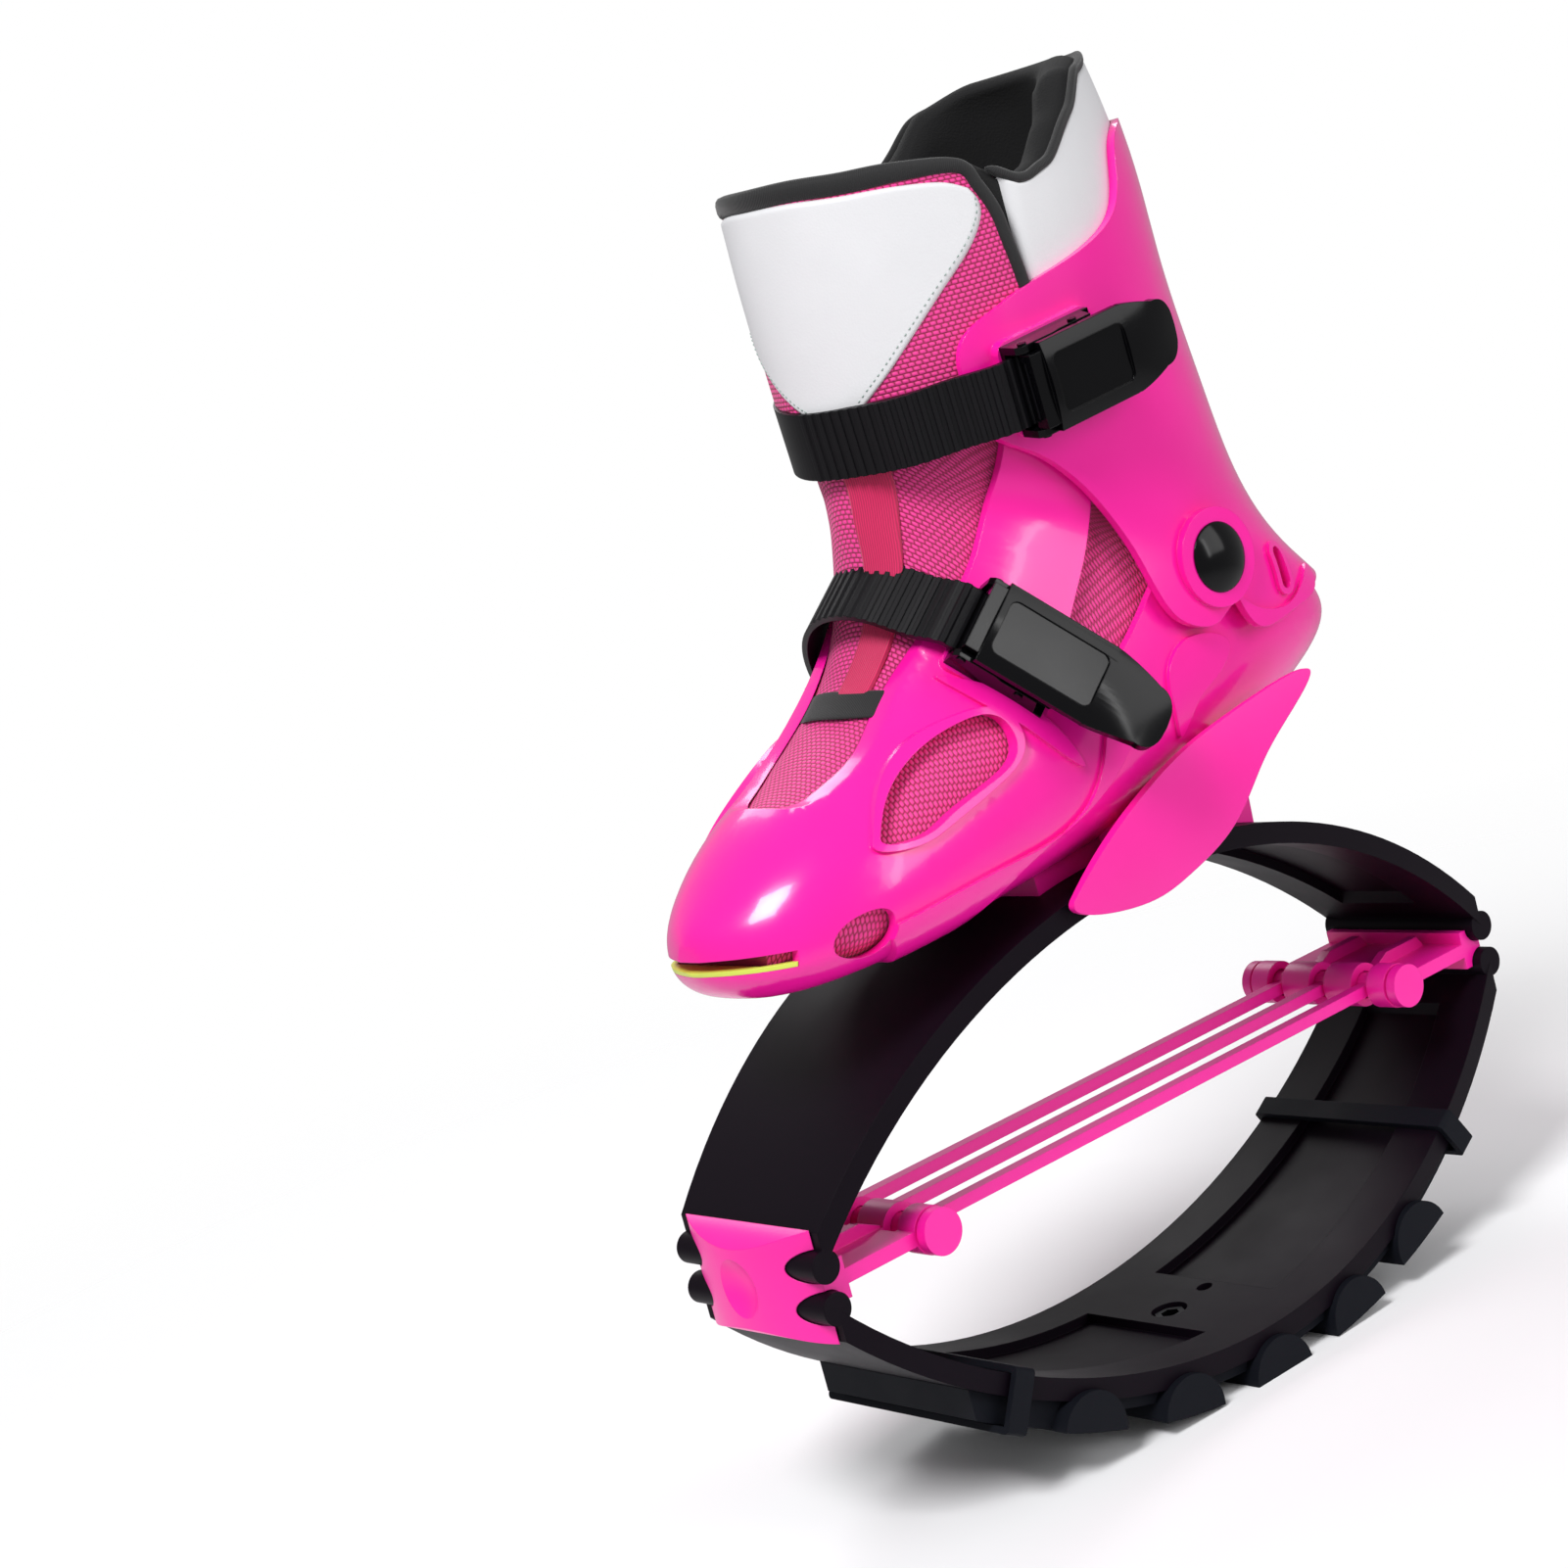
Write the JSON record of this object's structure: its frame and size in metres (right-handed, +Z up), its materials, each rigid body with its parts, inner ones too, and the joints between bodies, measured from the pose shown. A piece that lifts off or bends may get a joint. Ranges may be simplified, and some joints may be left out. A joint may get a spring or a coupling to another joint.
{
  "type": "rebound jumping boot",
  "caption": "Left fitness boot on a sprung oval ring: hard shell and hinged cuff with ratchet straps over a padded liner, rubber outsole below.",
  "frame": {"origin": "middle of the centre pad of the outsole, on the ground under the middle of the spring ring", "axes": "+Z up, +X to the heel, +Y to the inner side of the foot"},
  "size_m": [0.342, 0.1382, 0.4455],
  "materials": {
    "ring_black": "satin black moulded plastic",
    "outsole_rubber": "matt black rubber",
    "ring_pink": "satin hot pink plastic",
    "shell_pink": "glossy hot pink plastic",
    "lip_yellow": "soft yellow-green rubbery plastic",
    "liner_fabric": "padded liner of pink mesh, white synthetic leather and black neoprene",
    "insole_foam": "black foam insole",
    "strap_black": "black ribbed strap plastic",
    "buckle_black": "glossy black plastic",
    "steel": "bright steel",
    "rivet_black": "glossy black cap"
  },
  "bodies": {
    "ring_base": {"lower_arc": "ring_black", "outsole": "outsole_rubber", "outsole_bolt": "steel", "outsole_nut": "steel", "loop_front": "outsole_rubber", "loop_rear": "outsole_rubber"},
    "tension": {"connector_front": "ring_pink", "connector_rear": "ring_pink", "tension_spring": "ring_pink"},
    "boot": {"upper_arc": "ring_black", "sole_block": "shell_pink", "sole_bolts": "steel", "sole_nuts": "steel", "wing_outer": "shell_pink", "wing_inner": "shell_pink", "lower_shell": "shell_pink", "toe_lip": "lip_yellow", "insole": "insole_foam", "liner_foot": "liner_fabric", "strap_lower": "strap_black", "buckle_base_lower": "buckle_black", "buckle_pins_lower": "steel", "ankle_rivets": "rivet_black", "rivets_boot": "steel"},
    "cuff_body": {"cuff": "shell_pink", "liner_collar": "liner_fabric", "strap_upper": "strap_black", "buckle_base_upper": "buckle_black", "buckle_pins_upper": "steel", "rivets_cuff": "steel"},
    "lever_lower_body": {"lever_lower": "buckle_black"},
    "lever_upper_body": {"lever_upper": "buckle_black"},
    "pawl_lower_body": {"pawl_lower": "buckle_black"},
    "pawl_upper_body": {"pawl_upper": "buckle_black"}
  },
  "joints": [
    {"name": "ring_compress", "type": "slide", "parent": "ring_base", "child": "tension", "axis": [0, 0, -1], "range_m": [0, 0.015], "stiffness_N_per_m": 60000, "deforming": ["lower_arc"]},
    {"name": "boot_compress", "type": "slide", "parent": "tension", "child": "boot", "axis": [0, 0, -1], "range_m": [0, 0.015], "stiffness_N_per_m": 60000, "deforming": ["upper_arc"]},
    {"name": "cuff_flex", "type": "hinge", "parent": "boot", "child": "cuff_body", "pos_m": [0.057, 0, 0.2705], "axis": [0, 1, 0], "range_deg": [-10, 3]},
    {"name": "lever_lower_lift", "type": "hinge", "parent": "boot", "child": "lever_lower_body", "pos_m": [-0.04285, -0.04477, 0.2771], "axis": [-0.783, -0.0221, -0.6217], "range_deg": [0, 95]},
    {"name": "lever_upper_lift", "type": "hinge", "parent": "cuff_body", "child": "lever_upper_body", "pos_m": [-0.00861, -0.05876, 0.34303], "axis": [0.1499, 0.1202, -0.9814], "range_deg": [0, 95]},
    {"name": "pawl_lower_press", "type": "hinge", "parent": "boot", "child": "pawl_lower_body", "pos_m": [-0.0298, -0.0521, 0.26093], "axis": [0.783, 0.0221, 0.6217], "range_deg": [0, 6], "stiffness_Nm_per_rad": 0.2},
    {"name": "pawl_upper_press", "type": "hinge", "parent": "cuff_body", "child": "pawl_upper_body", "pos_m": [0.01311, -0.06073, 0.34611], "axis": [-0.1499, -0.1202, 0.9814], "range_deg": [0, 6], "stiffness_Nm_per_rad": 0.2}
  ],
  "couplings": [
    {"joint": "boot_compress", "follows": "ring_compress", "ratio": 1}
  ]
}
